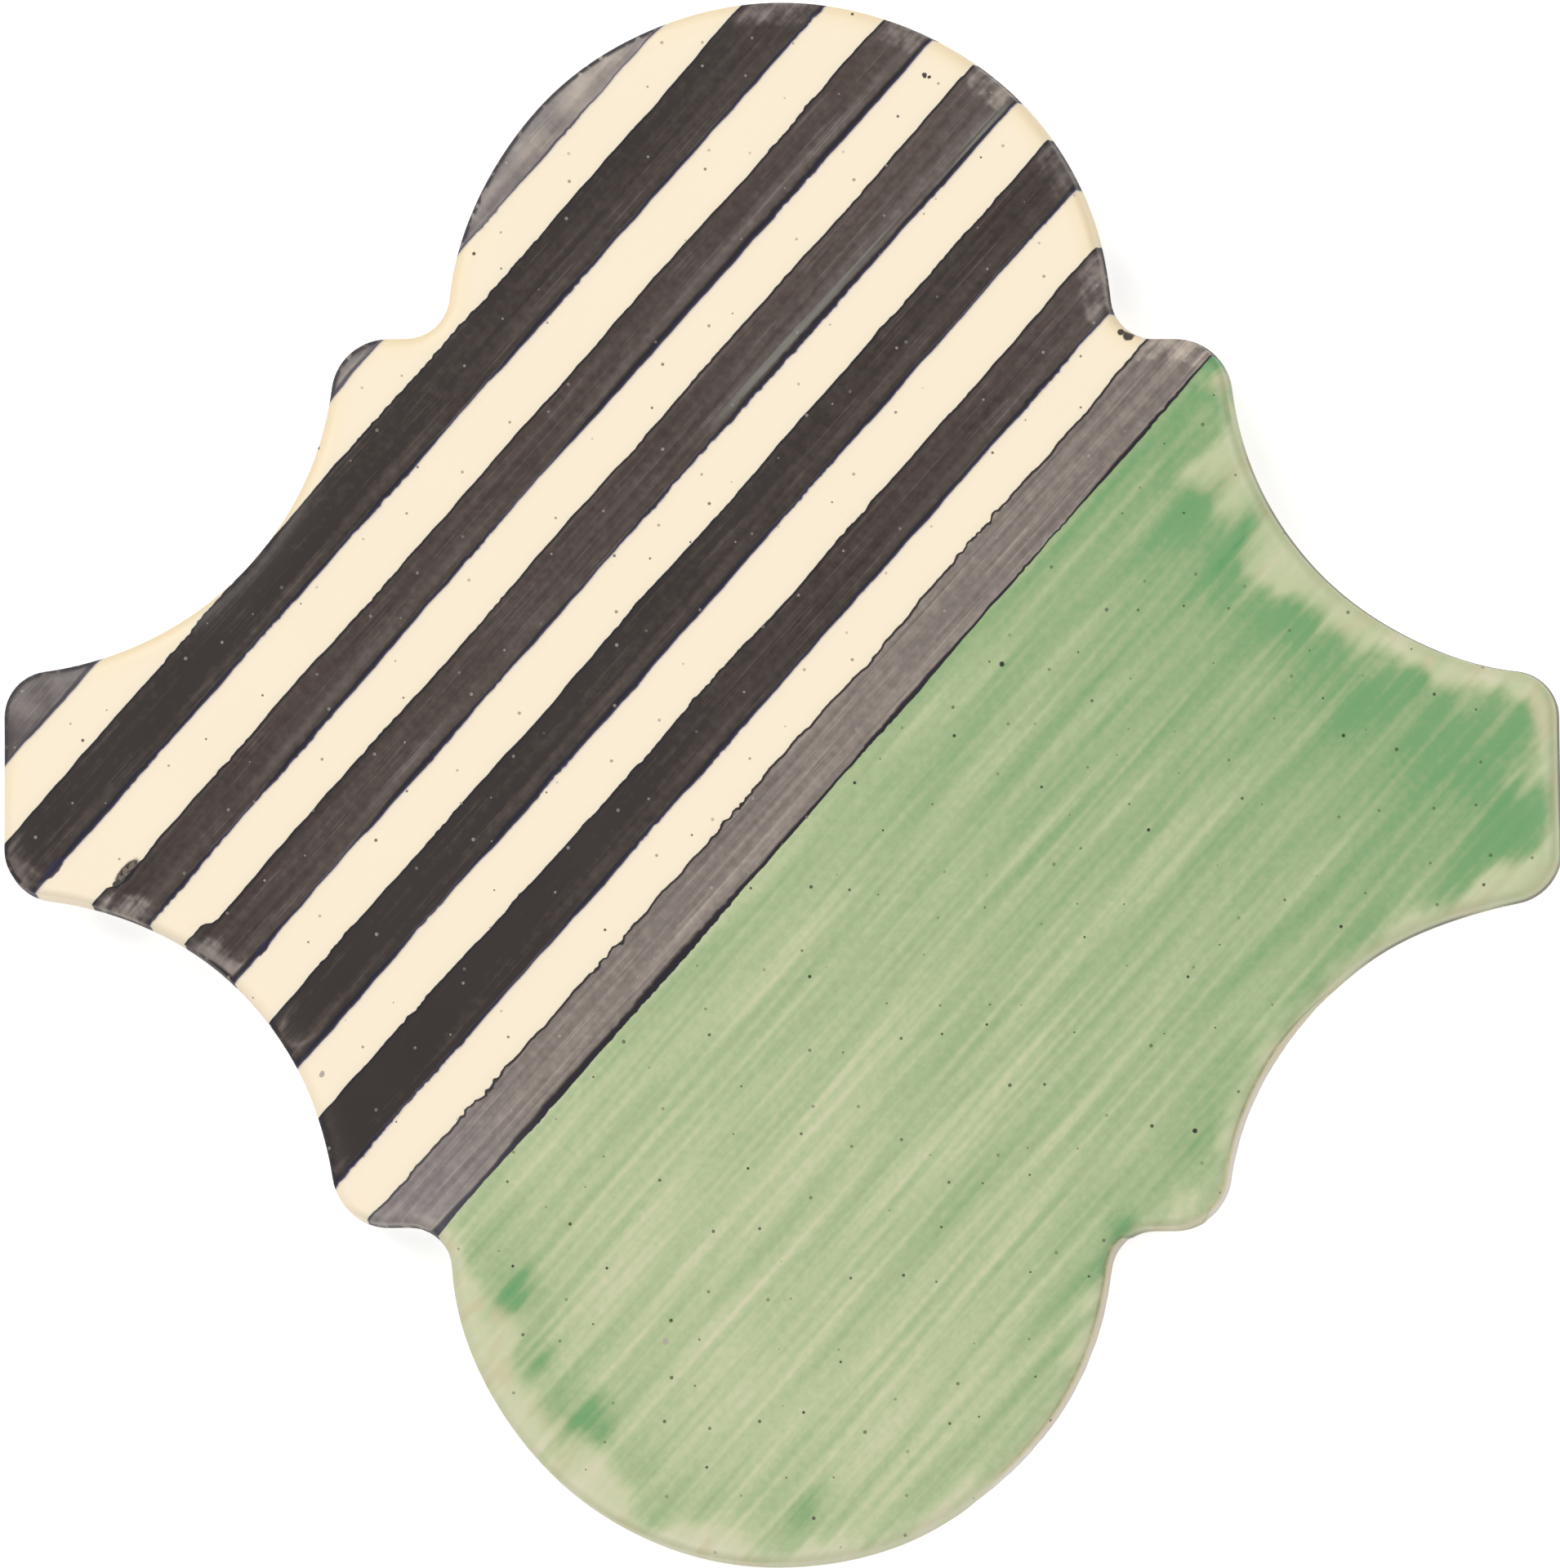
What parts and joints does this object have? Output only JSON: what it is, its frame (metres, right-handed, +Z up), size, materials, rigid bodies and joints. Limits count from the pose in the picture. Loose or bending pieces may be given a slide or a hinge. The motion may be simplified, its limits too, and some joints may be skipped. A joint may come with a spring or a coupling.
{
  "type": "arabesque wall tile",
  "caption": "Glazed lantern-shaped wall tile with round lobes, flat ends and scalloped corners that nest with its neighbours, keyed back.",
  "frame": {"origin": "middle of the flat back, where the tile's two axes of symmetry cross", "axes": "+Z up, out of the glazed face; +X across the tile towards a flat end; +Y up the tile towards a lobe"},
  "size_m": [0.152, 0.1528, 0.0095],
  "materials": {
    "glaze": "satin-gloss hand-painted glaze on pale clay"
  },
  "bodies": {
    "root": {"arabesque_tile": "glaze"}
  },
  "joints": []
}
